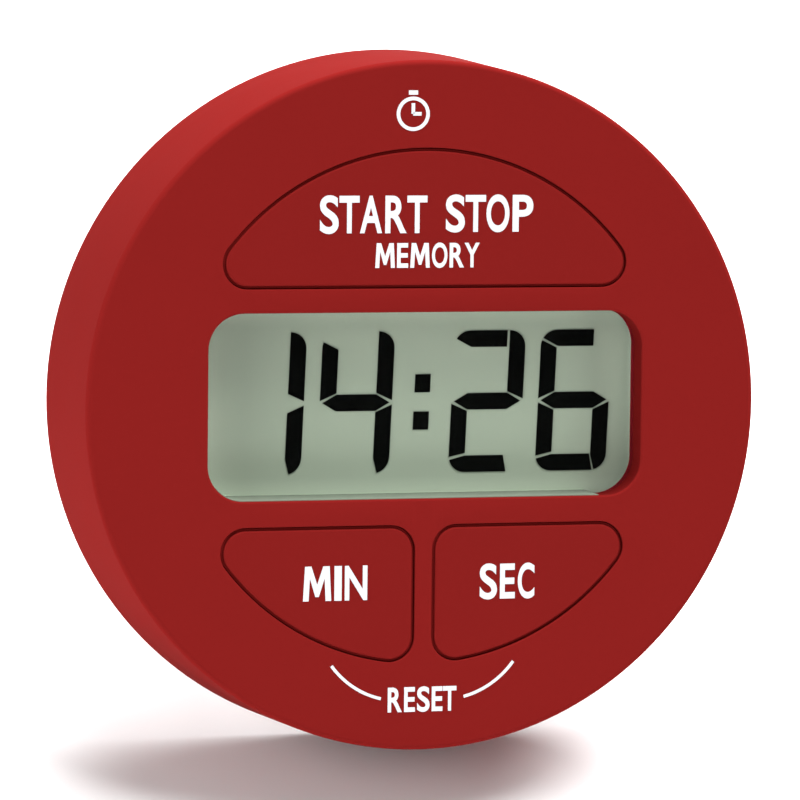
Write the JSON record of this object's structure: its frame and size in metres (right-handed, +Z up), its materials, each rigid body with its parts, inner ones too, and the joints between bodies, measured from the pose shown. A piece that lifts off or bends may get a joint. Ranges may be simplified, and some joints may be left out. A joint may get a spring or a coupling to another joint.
{
  "type": "digital kitchen timer",
  "caption": "Round battery-powered digital kitchen timer with recessed display, press keys flush with the face, magnet back and fold-out stand leg.",
  "frame": {"origin": "middle of the footprint, on the surface that the timer stands on with its leg open", "axes": "+Z up; the face looks towards -Y and leans back 27.3 degrees; +X is to the right of someone reading the display"},
  "size_m": [0.062, 0.0412, 0.0606],
  "materials": {
    "red_soft_touch": "soft-touch paint, fine grain",
    "red_plastic": "moulded, light texture",
    "clear_plastic": "polished clear",
    "display_glass": "polished, with polariser film",
    "reflector_film": "satin grey-green reflector",
    "segment_ink": "black display segments",
    "label_ink": "white pad-printed ink",
    "white_plastic": "moulded",
    "silicone_rubber": "moulded silicone",
    "carbon_rubber": "carbon-filled, matte",
    "board_laminate": "green solder mask",
    "bright_steel": "plated, satin",
    "nickel_magnet": "nickel plated",
    "brass_sheet": "rolled sheet",
    "ceramic": "fired ceramic",
    "black_plastic": "moulded",
    "red_insulation": "wire insulation"
  },
  "bodies": {
    "case": {"front_housing": "red_soft_touch", "rear_cover": "red_plastic", "display_lens": "clear_plastic", "lcd_front_glass": "display_glass", "lcd_rear_glass": "display_glass", "lcd_reflector": "reflector_film", "lcd_holder": "white_plastic", "lcd_zebra_strip": "silicone_rubber", "start_stop_dome": "silicone_rubber", "min_dome": "silicone_rubber", "sec_dome": "silicone_rubber", "start_stop_pill": "carbon_rubber", "min_pill": "carbon_rubber", "sec_pill": "carbon_rubber", "circuit_board": "board_laminate", "chip_cover": "carbon_rubber", "quartz_crystal": "bright_steel", "board_capacitor": "ceramic", "board_resistor_1": "black_plastic", "board_resistor_2": "black_plastic", "board_screw_left": "bright_steel", "board_screw_right": "bright_steel", "case_screw_top": "bright_steel", "case_screw_left": "bright_steel", "case_screw_right": "bright_steel", "button_cell": "bright_steel", "cell_negative_contact": "bright_steel", "cell_positive_contact": "bright_steel", "magnet": "nickel_magnet", "piezo_brass_disc": "brass_sheet", "piezo_ceramic": "ceramic", "piezo_wire_red": "red_insulation", "piezo_wire_black": "black_plastic", "hinge_pin": "bright_steel"},
    "start_stop_key": {"start_stop_key": "red_soft_touch"},
    "min_key": {"min_key": "red_soft_touch"},
    "sec_key": {"sec_key": "red_soft_touch"},
    "battery_door": {"battery_door": "red_plastic"},
    "stand_leg": {"stand_leg": "red_plastic"}
  },
  "joints": [
    {"name": "start_stop_key_press", "type": "slide", "parent": "case", "child": "start_stop_key", "axis": [0, 0.8882, -0.4594], "range_m": [0, 0.0008], "stiffness_N_per_m": 800},
    {"name": "min_key_press", "type": "slide", "parent": "case", "child": "min_key", "axis": [0, 0.8882, -0.4594], "range_m": [0, 0.0008], "stiffness_N_per_m": 800},
    {"name": "sec_key_press", "type": "slide", "parent": "case", "child": "sec_key", "axis": [0, 0.8882, -0.4594], "range_m": [0, 0.0008], "stiffness_N_per_m": 800},
    {"name": "battery_door_turn", "type": "hinge", "parent": "case", "child": "battery_door", "pos_m": [0, -0.00005, 0.01576], "axis": [0, 0.8882, -0.4594], "range_deg": [0, 40]},
    {"name": "stand_leg_fold", "type": "hinge", "parent": "case", "child": "stand_leg", "pos_m": [0, 0.01378, 0.04578], "axis": [-1, 0, 0], "range_deg": [0, 34]}
  ]
}
